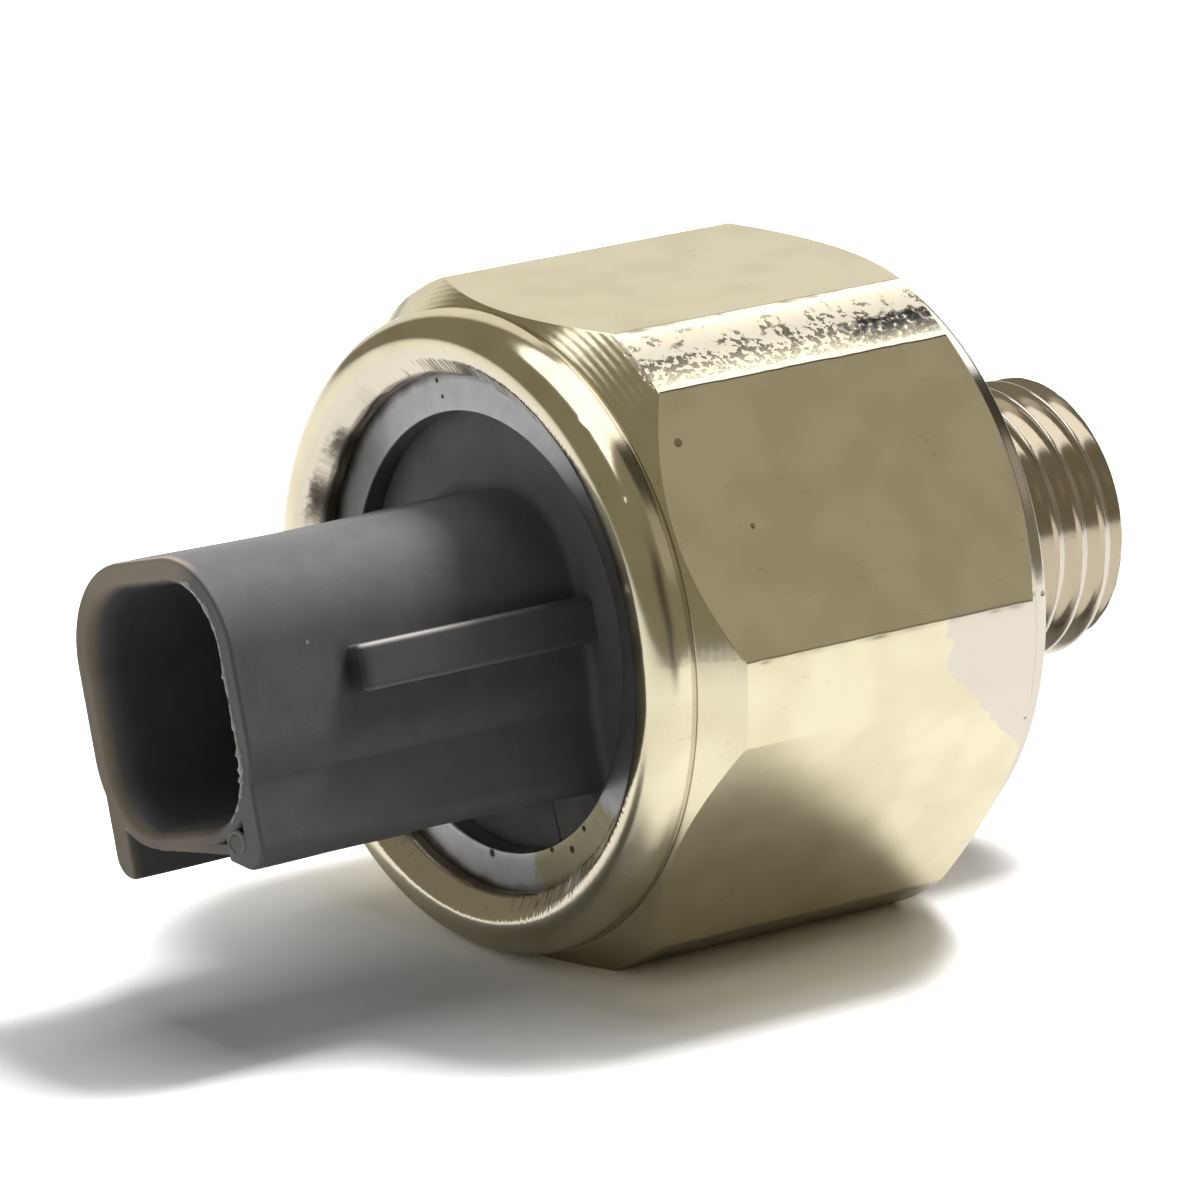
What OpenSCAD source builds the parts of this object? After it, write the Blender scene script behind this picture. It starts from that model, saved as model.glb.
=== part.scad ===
// Screw-in knock sensor with a moulded one-way connector, in millimetres.
// The sensor's axis is X: the threaded stud points to +X and the connector to -X.
// The origin is on the axis, in the plane of the seat ring that meets the engine block.
// It lies on one flat of the hexagon, as it comes to rest on a bench.

/* [Hexagon] */
// Across flats of the hexagon
hex_af = 27; // [26:0.5:30]
// Length of the hexagon along its flats
hex_l = 17.7; // [16:0.1:22]
// How far the turned-down corners stand above the flats
corner_rise = 1.17; // [0.5:0.01:1.9]
// Angle of the front corner chamfer, from the axis
front_chamfer = 39.2; // [25:0.1:50]
// Angle of the rear corner chamfer, from the axis
rear_chamfer = 46.5; // [30:0.1:60]
// How far the rear chamfer starts inside the flats
rear_inset = 0.41; // [0.1:0.01:0.6]
// Height of the raised seat ring behind the hexagon
seat_h = 0.65; // [0.3:0.05:1.2]
// How far the seat ring's edge lies inside the flats
seat_inset = 0.6; // [0.6:0.05:2]

/* [Stud] */
// Thread's outer diameter, M12 fine
stud_d = 11.9; // [11.5:0.01:12]
// Length of the stud from the seat ring
stud_l = 10.65; // [9:0.05:20]
// Depth of the chamfer at the stud's end
stud_chamfer = 0.75; // [0.3:0.05:1.2]

/* [Collar] */
// Length of the collar in front of the flats
collar_l = 2.1; // [2:0.1:4]
// How far the collar is turned below the flats
collar_step = 0.1; // [0:0.05:0.6]
// Radius of the rolled crimp edge
rim_r = 1.3; // [1.1:0.05:1.4]
// Axial thickness of the crimp lip over the clamp ring
lip_t = 1.4; // [1.3:0.05:2]
// Wall of the collar around the flange
collar_wall = 1.3; // [1:0.05:1.6]
// Depth of the turned groove between the rolled edge and the cone
groove_depth = 0.18; // [0.05:0.01:0.4]
// Length of that groove
groove_l = 0.35; // [0.2:0.05:0.6]

/* [Cavity] */
// Width of the shoulder behind the O-ring
shoulder_w = 2.05; // [1.6:0.05:2.5]
// Width of the ledge that the base plate sits on
ledge_w = 1.85; // [1:0.05:2.5]
// Free space behind the base plate
floor_gap = 0.8; // [0.4:0.1:1.5]
// Radial clearance of the pieces that drop into the housing
fit_clear = 0.1; // [0.05:0.01:0.2]

/* [Clamp ring] */
// Thickness of the steel ring under the lip
ring_t = 1; // [0.8:0.05:1.5]
// Hole of the ring
ring_hole_d = 18.3; // [17.8:0.1:19]

/* [Connector] */
// Roll of the connector about the axis, against the hexagon's flats
connector_roll = -17; // [-180:1:180]
// Thickness of the moulded flange
flange_t = 3.2; // [2.5:0.1:4]
// Length of the shroud in front of the flange
shroud_l = 17.1; // [15:0.1:22]
// Width of the shroud
shroud_w = 11; // [10.5:0.1:11.6]
// Top of the shroud above the axis
shroud_top = 5.76; // [5.4:0.02:6.2]
// Underside of the shroud below the axis
shroud_bottom = 5.95; // [5.6:0.05:6.2]
// Corner radius at the top
corner_top_r = 4.05; // [3:0.05:4.6]
// Corner radius at the bottom
corner_bottom_r = 3.9; // [3:0.05:4.6]
// Wall at the top and the sides
shroud_wall = 1.2; // [0.8:0.05:1.5]
// Wall at the bottom
bottom_wall = 0.8; // [0.6:0.05:1.2]
// Lead-in chamfer round the mouth
mouth_lead = 0.45; // [0.2:0.05:0.6]
// Depth of the socket
socket_depth = 14; // [12:0.1:15.5]

/* [Feet, web and ribs] */
// Thickness of each guide foot
foot_t = 1.17; // [0.8:0.01:1.6]
// How far the feet's outer faces lie inside the shroud's sides
foot_inset = 0.3; // [0:0.05:0.6]
// Lowest point of the feet below the axis
foot_bottom = 7.05; // [6.6:0.05:7.3]
// Radius of the feet's lower outer edge
foot_r = 1; // [0.4:0.05:1.1]
// Thickness of the keying web between the feet
web_t = 0.5; // [0.4:0.05:0.8]
// Where the web ends, across from the centre line
web_end = 1.7; // [0.5:0.1:2.5]
// Width of the web's thick root, which fills the corner beside its foot
web_root_w = 1.33; // [0.8:0.01:1.8]
// How far the root's free edge lies above the foot's bottom
web_root_rise = 0.45; // [0.2:0.05:0.6]
// Length of the web from the mouth
web_l = 8; // [5:0.1:12]
// Height of the latch ramp under the web
latch_h = 0.5; // [0.3:0.05:0.6]
// Width of the latch ramp
latch_w = 3; // [2:0.1:3.4]
// Height of the side ribs
rib_h = 1.9; // [1.2:0.1:2.6]
// How far the side ribs stand out
rib_out = 0.8; // [0.4:0.05:1.2]
// Length of the side ribs from the flange
rib_l = 11.6; // [6:0.1:14]
// Edge radius of the side ribs
rib_r = 0.2; // [0.1:0.05:0.3]

/* [Spigot] */
// Length of the spigot behind the flange
spigot_l = 2.3; // [2:0.1:3]
// Wall of the spigot's rim
spigot_wall = 1.2; // [0.9:0.05:1.6]
// Depth of the recess inside the spigot
spigot_recess = 1.3; // [0.8:0.1:1.6]
// Diameter of the boss round the terminal
boss_d = 6.8; // [6:0.1:8]
// Height of that boss
boss_h = 0.6; // [0.4:0.05:0.7]
// Diameter of the pool of sealing resin
seal_d = 4.8; // [4.4:0.1:5.4]
// Depth of the pool
seal_depth = 0.8; // [0.5:0.1:1.5]

/* [O-ring] */
// Section diameter of the O-ring
oring_d = 1.76; // [1.6:0.02:1.9]
// Axial nip clearance on each side of the O-ring
oring_nip = 0.02; // [0.01:0.01:0.1]

/* [Terminal] */
// Width of the blade
blade_w = 2.3; // [1.8:0.1:2.8]
// Thickness of the terminal's strip
blade_t = 0.64; // [0.5:0.02:0.8]
// Length of the blade in front of the socket's floor
blade_l = 8; // [6:0.1:9]
// Length of the tapered tip
tip_l = 1; // [0.5:0.1:1.5]
// Width at the tip's end
tip_w = 1; // [0.6:0.1:1.6]
// Width of the retaining shoulder inside the moulding
shoulder_strip_w = 3.8; // [3:0.1:4.2]
// Length of the retaining shoulder
shoulder_strip_l = 1.2; // [0.8:0.1:1.8]
// Depth of that shoulder behind the socket's floor
strip_cover = 1.2; // [0.8:0.1:1.8]
// Width of the tail
tail_w = 1.8; // [1.2:0.1:2.2]
// Length of the tail behind the boss
tail_l = 1.8; // [1.4:0.1:2]

/* [Sensing element] */
// Length of the sleeve that clamps the base plate
sleeve_l = 5.3; // [4.9:0.1:7]
// Wall of the sleeve
sleeve_wall = 0.75; // [0.5:0.05:1]
// Thickness of the base plate
base_t = 1.4; // [1:0.1:2]
// Diameter of the post that carries the vibration plate
post_d = 5.2; // [4:0.1:7]
// Height of that post
post_h = 1; // [0.6:0.1:1.4]
// Thickness of the vibration plate
plate_t = 0.6; // [0.4:0.05:0.8]
// Free space round the vibration plate
plate_gap = 0.8; // [0.5:0.05:1.5]
// Thickness of the adhesive film
bond_t = 0.1; // [0.05:0.01:0.15]
// Diameter of the piezo disc
piezo_d = 12; // [9:0.1:14]
// Thickness of the piezo disc
piezo_t = 1; // [0.6:0.05:1.2]
// Thickness of each silver electrode
electrode_t = 0.1; // [0.04:0.01:0.12]
// Bare margin of the piezo disc round its electrodes
electrode_margin = 0.5; // [0.2:0.1:1]

/* [Wiring] */
// Diameter of the wires
wire_d = 0.4; // [0.3:0.02:0.6]
// Air gap between the resistor's caps and the resin's face
resistor_gap = 0.1; // [0.05:0.01:0.3]
// Where the lead wire lands on the piezo disc, from the axis
lead_z = 3.5; // [2.6:0.1:4.2]
// Bend radius of the lead wire
lead_bend = 0.7; // [0.5:0.05:0.9]
// Radius of the solder bead on the piezo disc
bead_r = 0.6; // [0.4:0.05:0.7]
// Radius of the solder beads on the terminal's tail
tail_bead_r = 0.5; // [0.4:0.05:0.7]
// Diameter of the shunt resistor
resistor_d = 1.6; // [1.2:0.05:1.6]
// Length of the shunt resistor
resistor_l = 3.8; // [2.6:0.1:4.4]
// Length of the resistor's end caps
cap_l = 0.7; // [0.4:0.05:1]
// Wall of the end caps
cap_t = 0.1; // [0.05:0.01:0.12]
// Length of the resistor's lead to the terminal
resistor_lead = 1.6; // [1:0.1:2.4]
// Clearance between the small assembled pieces
small_clear = 0.02; // [0.01:0.01:0.05]

/* [Hidden] */
$fn = 96;
// Overlap of the cutting solids past a face
eps = 0.5;

// Radii, from the hexagon inward
flat_r = hex_af / 2;
corner_r = flat_r + corner_rise;
rear_r = flat_r - rear_inset;
seat_r = flat_r - seat_inset;
collar_r = flat_r - collar_step;
bore_r = collar_r - collar_wall;
flange_r = bore_r - fit_clear;
inner_bore_r = bore_r - shoulder_w;
spigot_r = inner_bore_r - fit_clear;
ledge_r = inner_bore_r - ledge_w;
sleeve_inner_r = spigot_r - sleeve_wall;
plate_r = sleeve_inner_r - plate_gap;
oring_r = oring_d / 2;
oring_mid_r = (spigot_r + bore_r) / 2;
electrode_r = piezo_d / 2 - electrode_margin;

// Stations along the axis: the hexagon's two ends, then from the rolled edge back to the cavity's floor
rear_x = -seat_h;
front_x = rear_x - hex_l;
rim_x = front_x - collar_l;
ring_x = rim_x + lip_t;
flange_x = ring_x + ring_t;
flange_back_x = flange_x + flange_t;
shoulder_x = flange_back_x + oring_d + 2 * oring_nip;
spigot_x = flange_back_x + spigot_l;
base_x = spigot_x + sleeve_l;
ledge_x = base_x + base_t;
floor_x = ledge_x + floor_gap;

// Stations of the connector and its terminal
mouth_x = flange_x - shroud_l;
socket_x = mouth_x + socket_depth;
tip_x = socket_x - blade_l;
recess_x = spigot_x - spigot_recess;
boss_x = recess_x + boss_h;
tail_x = boss_x + tail_l;
strip_x = socket_x + strip_cover;

// Stations of the sensing element, from the base plate forward
plate_back_x = base_x - post_h;
plate_x = plate_back_x - plate_t;
bond_x = plate_x - bond_t;
lower_x = bond_x - electrode_t;
piezo_x = lower_x - piezo_t;
upper_x = piezo_x - electrode_t;

// Wires and the resistor, which hangs below the tail
wire_r = wire_d / 2;
strip_z = blade_t / 2;
cap_r = resistor_d / 2 + small_clear + cap_t;
wires_x = boss_x + resistor_gap + cap_r;
resistor_top = -(strip_z + resistor_lead);
resistor_end = resistor_top - resistor_l;

// Turns a half section of points [radius, x] about the sensor's axis
module turned() { rotate([0, 90, 0]) rotate_extrude() children(); }

// A half section from x0 to x1 between two radii
module band(x0, x1, r0, r1) { translate([r0, x0]) square([r1 - r0, x1 - x0]); }

// Extrudes an outline of points [across, up] along the axis from x0 to x1
module along_axis(x0, x1) { translate([x0, 0, 0]) rotate([90, 0, 90]) linear_extrude(x1 - x0) children(); }

// Turns what belongs to the connector to its place round the axis
module rolled() { rotate([connector_roll, 0, 0]) children(); }

// Rounded outline whose top and bottom corners have their own radii
module soft_box(half_w, top, bottom, r_top, r_bottom) {
    translate([-half_w, -bottom + r_bottom]) square([2 * half_w, top + bottom - r_top - r_bottom]);
    translate([-half_w + r_top, 0]) square([2 * (half_w - r_top), top]);
    translate([-half_w + r_bottom, -bottom]) square([2 * (half_w - r_bottom), bottom]);
    for (side = [-1, 1]) {
        translate([side * (half_w - r_top), top - r_top]) circle(r_top);
        translate([side * (half_w - r_bottom), -bottom + r_bottom]) circle(r_bottom);
    }
}

// Half section of the hexagon's turned envelope, with both corner chamfers and the seat ring
module hex_envelope() {
    front_rise = corner_r - collar_r;
    front_run = front_rise / tan(front_chamfer);
    foot_x = front_x - (flat_r - collar_r) / tan(front_chamfer);
    rear_run = (corner_r - rear_r) / tan(rear_chamfer);
    polygon([[0, foot_x], [collar_r, foot_x], [corner_r, foot_x + front_run], [corner_r, rear_x - rear_run],
        [rear_r, rear_x], [seat_r, rear_x], [seat_r, 0], [0, 0]]);
}

// Half section of the collar: plain wall, turned groove and rolled edge
module collar_section() {
    difference() {
        union() {
            band(rim_x + rim_r, front_x + eps, 0, collar_r);
            translate([collar_r - rim_r, rim_x + rim_r]) circle(rim_r);
        }
        band(front_x - groove_l, front_x - small_clear, collar_r - groove_depth, collar_r + eps);
        band(rim_x - eps, ring_x, 0, collar_r - rim_r - sqrt(pow(rim_r, 2) - pow(lip_t - rim_r, 2)));
    }
}

// Half section of the cavity, from the clamp ring's seat back to the floor
module cavity_section() {
    band(ring_x, shoulder_x, 0, bore_r);
    band(shoulder_x - eps, ledge_x, 0, inner_bore_r);
    band(ledge_x - eps, floor_x, 0, ledge_r);
}

// Half section of the stud: thread's outer cylinder and end chamfer
module stud_section() {
    r = stud_d / 2;
    polygon([[0, -eps], [r, -eps], [r, stud_l - stud_chamfer], [r - stud_chamfer, stud_l], [0, stud_l]]);
}

// Steel body: hexagon, stud, and a collar whose edge is rolled over the clamp ring
module hex_housing() {
    color([0.78, 0.73, 0.55]) difference() {
        union() {
            intersection() {
                rotate([0, 90, 0]) rotate([0, 0, 30])
                    translate([0, 0, -2 * hex_l]) cylinder(h = 3 * hex_l, r = flat_r / cos(30), $fn = 6);
                turned() hex_envelope();
            }
            turned() collar_section();
            turned() stud_section();
        }
        turned() cavity_section();
    }
}

// Steel ring between the rolled lip and the flange
module clamp_ring() {
    color([0.66, 0.67, 0.68]) turned() band(ring_x, flange_x, ring_hole_d / 2, flange_r);
}

// Outline of the shroud's outside
module shroud_outline() {
    soft_box(shroud_w / 2, shroud_top, shroud_bottom, corner_top_r, corner_bottom_r);
}

// Outline of the socket, or of its mouth where grow is above zero
module socket_outline(grow) {
    soft_box(shroud_w / 2 - shroud_wall + grow, shroud_top - shroud_wall + grow,
        shroud_bottom - bottom_wall + grow, corner_top_r - shroud_wall + grow,
        corner_bottom_r - shroud_wall + grow);
}

// Outline of one guide foot, with its lower outer edge rounded
module foot_outline() {
    outer = shroud_w / 2 - foot_inset;
    inner = outer - foot_t;
    intersection() {
        translate([inner, -foot_bottom]) square([foot_t, foot_bottom - shroud_bottom + corner_bottom_r]);
        union() {
            translate([inner, -foot_bottom + foot_r]) square([foot_t, shroud_bottom]);
            translate([inner - eps, -foot_bottom]) square([foot_t - foot_r + eps, foot_bottom]);
            translate([outer - foot_r, -foot_bottom + foot_r]) circle(foot_r);
        }
    }
}

// Outline of the keying web, which joins one foot by a thick root and stops short of the other
module web_outline() {
    inner = shroud_w / 2 - foot_inset - foot_t;
    low = shroud_bottom + 0.1;
    polygon([[-inner - foot_t / 2, -low - web_t], [web_end, -low], [web_end, -low + web_t],
        [-inner - foot_t / 2, -low]]);
    polygon([[-inner - foot_t / 2, -low - web_t], [-inner, -foot_bottom],
        [-inner + web_root_w, web_root_rise - foot_bottom], [-inner + web_root_w, -low + web_t],
        [-inner - foot_t / 2, -low + web_t]]);
}

// Latch ramp under the web, rising away from the mouth to a square catch
module latch_ramp() {
    run = web_l / 3;
    start = mouth_x + run / 2;
    floor_z = -shroud_bottom - web_t / 2;
    translate([0, latch_w / 2, 0]) rotate([90, 0, 0]) linear_extrude(latch_w)
        polygon([[start, floor_z + web_t / 2], [start, floor_z], [start + run, floor_z - latch_h],
            [start + 1.2 * run, floor_z - latch_h], [start + 1.2 * run, floor_z + web_t / 2]]);
}

// Outline of one side rib, its root sunk into the shroud's wall
module rib_outline() {
    root = shroud_w / 2 - shroud_wall / 2;
    reach = shroud_w / 2 + rib_out - rib_r;
    translate([root, -rib_h / 2]) square([reach - root, rib_h]);
    translate([reach, -rib_h / 2 + rib_r]) square([rib_r, rib_h - 2 * rib_r]);
    for (side = [-1, 1])
        translate([reach, side * (rib_h / 2 - rib_r)]) circle(rib_r);
}

// Half section of the flange, the spigot behind it and the boss round the terminal
module flange_section() {
    band(flange_x, flange_back_x, 0, flange_r);
    difference() {
        band(flange_back_x - eps, spigot_x, 0, spigot_r);
        band(recess_x, spigot_x + eps, 0, spigot_r - spigot_wall);
    }
    band(recess_x - eps, boss_x, 0, boss_d / 2);
}

// Moulded body: flange, shroud with its socket, guide feet, web, latch and ribs
module connector_body() {
    color([0.28, 0.28, 0.29]) rolled() difference() {
        union() {
            turned() flange_section();
            along_axis(mouth_x, flange_x + eps) shroud_outline();
            along_axis(mouth_x, flange_x + eps) {
                foot_outline();
                mirror([1, 0]) foot_outline();
            }
            along_axis(mouth_x, mouth_x + web_l) web_outline();
            latch_ramp();
            along_axis(flange_x - rib_l, flange_x + eps) {
                rib_outline();
                mirror([1, 0]) rib_outline();
            }
        }
        along_axis(mouth_x - eps, socket_x) socket_outline(0);
        hull() {
            along_axis(mouth_x - 0.02, mouth_x) socket_outline(mouth_lead, $fn = 48);
            along_axis(mouth_x + mouth_lead, mouth_x + mouth_lead + 0.02) socket_outline(0, $fn = 48);
        }
        turned() band(boss_x - seal_depth, boss_x + eps, 0, seal_d / 2);
        terminal_strip();
    }
}

// Stamped outline of the terminal, seen from above: blade, shoulder and tail
module terminal_strip() {
    half = [blade_w / 2, shoulder_strip_w / 2, tail_w / 2, tip_w / 2];
    side = [[tip_x, half[3]], [tip_x + tip_l, half[0]], [strip_x, half[0]], [strip_x, half[1]],
        [strip_x + shoulder_strip_l, half[1]], [strip_x + shoulder_strip_l, half[2]], [tail_x, half[2]]];
    mirrored = [for (i = [len(side) - 1 : -1 : 0]) [side[i][0], -side[i][1]]];
    translate([0, 0, -strip_z]) linear_extrude(blade_t) polygon(concat(side, mirrored));
}

// Tinned brass terminal, moulded into the body
module terminal() { color([0.78, 0.76, 0.66]) rolled() terminal_strip(); }

// Sealing resin poured round the terminal's tail
module terminal_seal() {
    color([0.16, 0.13, 0.1]) rolled() difference() {
        turned() band(boss_x - seal_depth, boss_x, 0, seal_d / 2);
        terminal_strip();
    }
}

// O-ring between the flange and the housing's shoulder
module o_ring() {
    color([0.08, 0.08, 0.08]) turned()
        translate([oring_mid_r, flange_back_x + oring_nip + oring_r]) circle(oring_r);
}

// Steel sleeve that holds the base plate down on its ledge
module clamp_sleeve() {
    color([0.6, 0.61, 0.62]) turned() band(spigot_x, base_x, sleeve_inner_r, spigot_r);
}

// Base plate with the post that carries the vibration plate
module base_plate() {
    color([0.56, 0.57, 0.58]) turned() {
        band(base_x, ledge_x, 0, spigot_r);
        band(plate_back_x, base_x + base_t / 2, 0, post_d / 2);
    }
}

// Vibration plate, welded at its middle and free at its rim
module vibration_plate() {
    color([0.7, 0.7, 0.68]) turned() band(plate_x, plate_back_x, 0, plate_r);
}

// Adhesive film under the piezo disc
module bond_film() {
    color([0.72, 0.55, 0.25]) turned() band(bond_x, plate_x, 0, electrode_r);
}

// Silver electrode on the piezo disc's rear face
module lower_electrode() {
    color([0.85, 0.85, 0.84]) turned() band(lower_x, bond_x, 0, electrode_r);
}

// Piezo-ceramic disc
module piezo_disc() {
    color([0.8, 0.76, 0.66]) turned() band(piezo_x, lower_x, 0, piezo_d / 2);
}

// Silver electrode on the piezo disc's front face
module upper_electrode() {
    color([0.86, 0.86, 0.85]) turned() band(upper_x, piezo_x, 0, electrode_r);
}

// A wire along Z at the wires' station, between two heights
module upright_wire(z0, z1) {
    translate([wires_x, 0, z0]) cylinder(h = z1 - z0, r = wire_r, $fn = 32);
}

// The lead wire's path: up from the tail, one bend, then back to the piezo disc
module lead_path() {
    bend_z = lead_z - lead_bend;
    upright_wire(strip_z, bend_z);
    translate([wires_x + lead_bend, 0, bend_z]) rotate([90, 0, 0]) rotate([0, 0, 90])
        rotate_extrude(angle = 90) translate([lead_bend, 0]) circle(wire_r, $fn = 32);
    translate([wires_x + lead_bend, 0, lead_z]) rotate([0, 90, 0])
        cylinder(h = upper_x - wires_x - lead_bend, r = wire_r, $fn = 32);
}

// Lead wire from the terminal's tail to the front electrode
module lead_wire() { color([0.8, 0.5, 0.3]) rolled() lead_path(); }

// Solder bead where the lead wire meets the front electrode
module element_solder() {
    color([0.75, 0.76, 0.77]) rolled() difference() {
        translate([upper_x, 0, lead_z]) sphere(bead_r);
        translate([upper_x, -1, lead_z - 1]) cube(2);
        lead_path();
    }
}

// Solder bead on one face of the tail; up is 1 above it and -1 below it
module tail_bead(up) {
    difference() {
        translate([wires_x, 0, up * strip_z]) sphere(tail_bead_r);
        translate([wires_x - 1, -1, up > 0 ? strip_z - 2 : -strip_z]) cube(2);
        upright_wire(-lead_z, lead_z);
    }
}

// Solder bead where the lead wire leaves the tail
module lead_solder() { color([0.75, 0.76, 0.77]) rolled() tail_bead(1); }

// Solder bead where the resistor's lead leaves the tail
module resistor_solder() { color([0.75, 0.76, 0.77]) rolled() tail_bead(-1); }

// Resistor's lead to the terminal
module resistor_lead_signal() {
    color([0.75, 0.75, 0.75]) rolled() upright_wire(resistor_top + cap_t, -strip_z);
}

// End cap of the resistor, closed at the top
module resistor_cap() {
    difference() {
        translate([0, 0, -cap_l]) cylinder(h = cap_l + cap_t, r = cap_r, $fn = 48);
        translate([0, 0, -cap_l - eps]) cylinder(h = cap_l + eps, r = cap_r - cap_t, $fn = 48);
    }
}

// End cap on the terminal's side
module resistor_cap_signal() {
    color([0.7, 0.7, 0.7]) rolled() translate([wires_x, 0, resistor_top]) resistor_cap();
}

// Shunt resistor, by which the engine computer notices a broken wire
module resistor_body() {
    color([0.35, 0.55, 0.62]) rolled()
        translate([wires_x, 0, resistor_end]) cylinder(h = resistor_l, r = resistor_d / 2, $fn = 48);
}

// End cap on the sleeve's side
module resistor_cap_ground() {
    color([0.7, 0.7, 0.7]) rolled()
        translate([wires_x, 0, resistor_end]) mirror([0, 0, 1]) resistor_cap();
}

// Resistor's lead to the sleeve
module resistor_lead_ground() {
    color([0.75, 0.75, 0.75]) rolled() upright_wire(-sleeve_inner_r + 0.1, resistor_end - cap_t);
}

// Solder bead that earths the resistor's lead on the sleeve
module ground_solder() {
    color([0.75, 0.76, 0.77]) rolled() difference() {
        intersection() {
            translate([wires_x, 0, -sleeve_inner_r]) sphere(bead_r);
            turned() band(spigot_x, base_x, 0, sleeve_inner_r - small_clear);
        }
        upright_wire(-sleeve_inner_r + 0.1, 0);
    }
}

hex_housing();
clamp_ring();
connector_body();
terminal();
terminal_seal();
o_ring();
clamp_sleeve();
base_plate();
vibration_plate();
bond_film();
lower_electrode();
piezo_disc();
upper_electrode();
element_solder();
lead_wire();
lead_solder();
resistor_solder();
resistor_lead_signal();
resistor_cap_signal();
resistor_body();
resistor_cap_ground();
resistor_lead_ground();
ground_solder();
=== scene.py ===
import math
import bpy
import numpy as np
from mathutils import Matrix, Vector


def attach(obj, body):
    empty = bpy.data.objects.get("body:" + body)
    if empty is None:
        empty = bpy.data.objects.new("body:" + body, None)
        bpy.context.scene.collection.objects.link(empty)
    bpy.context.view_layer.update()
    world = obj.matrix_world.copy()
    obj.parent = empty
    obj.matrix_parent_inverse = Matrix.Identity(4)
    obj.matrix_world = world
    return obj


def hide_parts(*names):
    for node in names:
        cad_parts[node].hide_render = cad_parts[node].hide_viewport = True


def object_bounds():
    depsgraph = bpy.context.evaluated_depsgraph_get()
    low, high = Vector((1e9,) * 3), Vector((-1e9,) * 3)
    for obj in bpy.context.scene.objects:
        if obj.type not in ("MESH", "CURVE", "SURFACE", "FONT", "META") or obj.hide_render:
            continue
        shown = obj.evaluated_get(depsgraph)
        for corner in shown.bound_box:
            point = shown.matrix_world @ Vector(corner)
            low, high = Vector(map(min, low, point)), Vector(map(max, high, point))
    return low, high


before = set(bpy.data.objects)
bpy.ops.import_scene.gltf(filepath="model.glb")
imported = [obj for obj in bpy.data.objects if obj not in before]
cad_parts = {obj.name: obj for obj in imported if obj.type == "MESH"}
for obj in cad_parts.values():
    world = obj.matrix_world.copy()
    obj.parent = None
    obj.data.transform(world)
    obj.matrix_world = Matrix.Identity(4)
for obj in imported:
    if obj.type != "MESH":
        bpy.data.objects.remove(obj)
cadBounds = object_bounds()
perMetre = 1000.0  # every size below is in millimetres
print("stage: frame loaded")

# The camera, as fitted to the photograph: angles in degrees, the offsets slide it across its own view
cameraFit = {
    "azimuth": -37.127,
    "elevation": 16.439,
    "roll": -0.052,
    "distance": 417.124,
    "across": -10.025,
    "up": -1.839,
    "along": -0.65,
    "lens": 298.13,
}


def placeCamera(fit):
    a, e, r = (math.radians(fit[key]) for key in ("azimuth", "elevation", "roll"))
    back = Vector((math.sin(a) * math.cos(e), -math.cos(a) * math.cos(e), math.sin(e)))
    level = Vector((math.cos(a), math.sin(a), 0.0))
    rise = back.cross(level)
    right = level * math.cos(r) + rise * math.sin(r)
    up = rise * math.cos(r) - level * math.sin(r)
    eye = right * fit["across"] + up * fit["up"] + back * fit["distance"] + Vector((fit["along"], 0, 0))
    data = bpy.data.cameras.new("camera")
    data.lens = fit["lens"]
    data.sensor_width = 36.0
    data.clip_start = 0.01
    camera = bpy.data.objects.new("camera", data)
    camera.matrix_world = Matrix.Translation(eye / perMetre) @ Matrix((right, up, back)).transposed().to_4x4()
    bpy.context.scene.collection.objects.link(camera)
    bpy.context.scene.camera = camera


placeCamera(cameraFit)
bpy.context.scene.view_settings.view_transform = "Standard"


# Meshes. A surface is a grid of points: its columns run round and close, its rows run along.

def eased(count):
    # (1 - cos(pi t)) / 2: steps from 0 to 1 that are short at both ends
    return (1 - np.cos(np.pi * np.linspace(0, 1, count))) / 2


def spun(x, r, a):
    # (x, -r sin a, r cos a): a is turned from straight up towards the camera's side
    x, r, a = np.broadcast_arrays(x, r, a)
    return np.stack([x, -r * np.sin(a), r * np.cos(a)], axis=-1)


def softened(corners, reach, steps, spans, closed=False):
    # Each corner c becomes the arc ((1-s)^2 a + 2 w s (1-s) c + s^2 b) / ((1-s)^2 + 2 w s (1-s) + s^2).
    # Its ends a and b lie one reach before and after c, and w is the cosine of half the turn.
    corners = np.asarray(corners, float)
    blocks = []
    for i, c in enumerate(corners):
        if not closed and i in (0, len(corners) - 1):
            blocks.append(c[None])
            continue
        before, after = corners[i - 1] - c, corners[(i + 1) % len(corners)] - c
        lengths = [np.linalg.norm(side, axis=-1, keepdims=True) for side in (before, after)]
        before, after = before / lengths[0], after / lengths[1]
        # A reach may take what its neighbour's leaves of the side between them
        taken = [reach[i - 1], reach[(i + 1) % len(corners)]]
        room = [np.maximum(length - other, 0.45 * length) for length, other in zip(lengths, taken)]
        near = np.minimum(reach[i], np.minimum(*room))
        w = np.sqrt((1 - (before * after).sum(-1, keepdims=True)) / 2)
        s = np.linspace(0, 1, steps[i] + 1).reshape((-1,) + (1,) * c.ndim)
        curve = (1 - s) ** 2 * (c + before * near) + 2 * w * s * (1 - s) * c + s ** 2 * (c + after * near)
        blocks.append(curve / ((1 - s) ** 2 + 2 * w * s * (1 - s) + s ** 2))
    rows = []
    for i, block in enumerate(blocks):
        rows.append(block)
        following = blocks[(i + 1) % len(blocks)][0]
        if closed or i < len(blocks) - 1:
            t = eased(spans[i] + 2)[1:-1].reshape((-1,) + (1,) * block[-1].ndim)
            rows.append(block[-1] + (following - block[-1]) * t)
    return np.concatenate(rows)


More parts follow.
